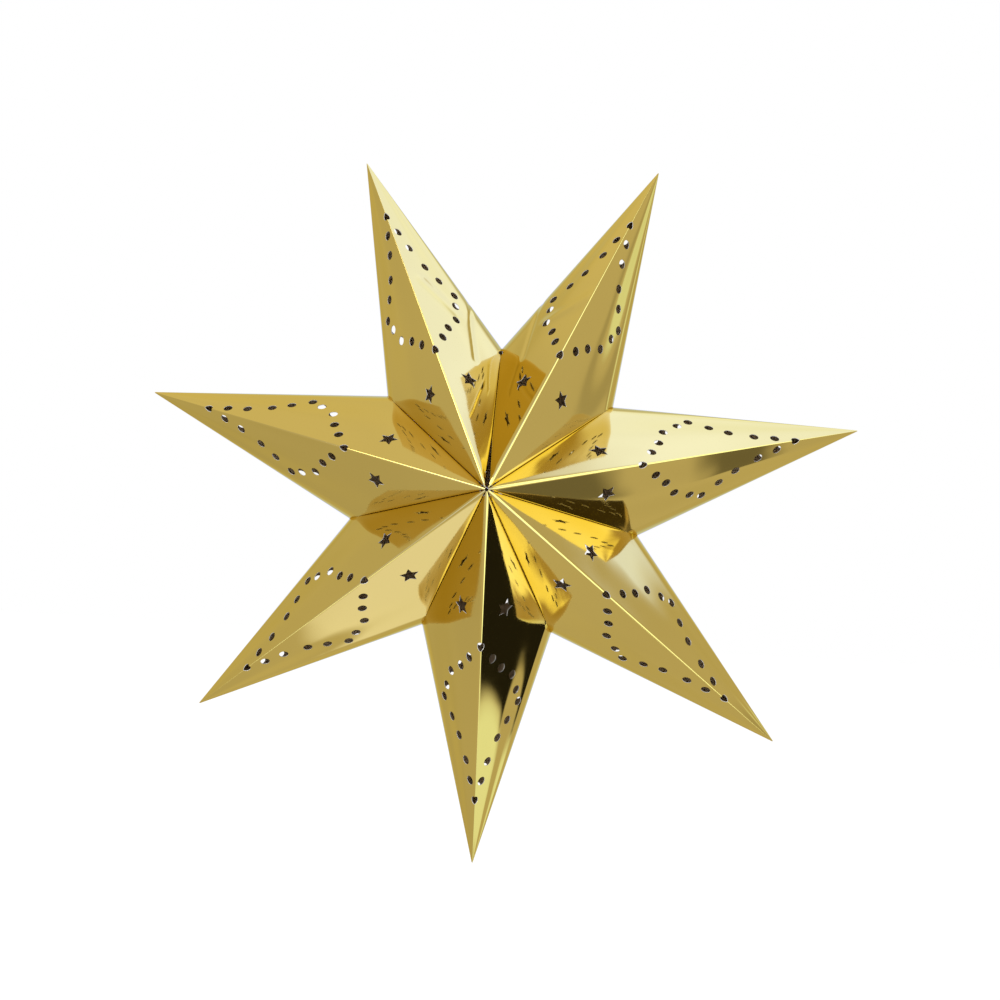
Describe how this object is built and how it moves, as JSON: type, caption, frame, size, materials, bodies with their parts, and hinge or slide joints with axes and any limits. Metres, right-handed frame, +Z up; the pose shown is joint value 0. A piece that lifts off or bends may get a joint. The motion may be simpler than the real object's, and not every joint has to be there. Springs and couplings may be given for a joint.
{
  "type": "paper star lantern",
  "caption": "Hanging paper star lantern of folded gold card points glued side to side, punched with dots and small stars.",
  "frame": {"origin": "middle of the hanging hole, half way between the front and back walls that it passes through", "axes": "-Y out of the star's front face, +Z up along the top seam, +X to the right seen from the front"},
  "size_m": [0.4455, 0.175, 0.4383],
  "materials": {
    "gold_card": "mirror gold foil on white card"
  },
  "bodies": {
    "root": {"point_1": "gold_card", "point_2": "gold_card", "point_3": "gold_card", "point_4": "gold_card", "point_5": "gold_card", "point_6": "gold_card", "point_7": "gold_card"}
  },
  "joints": []
}
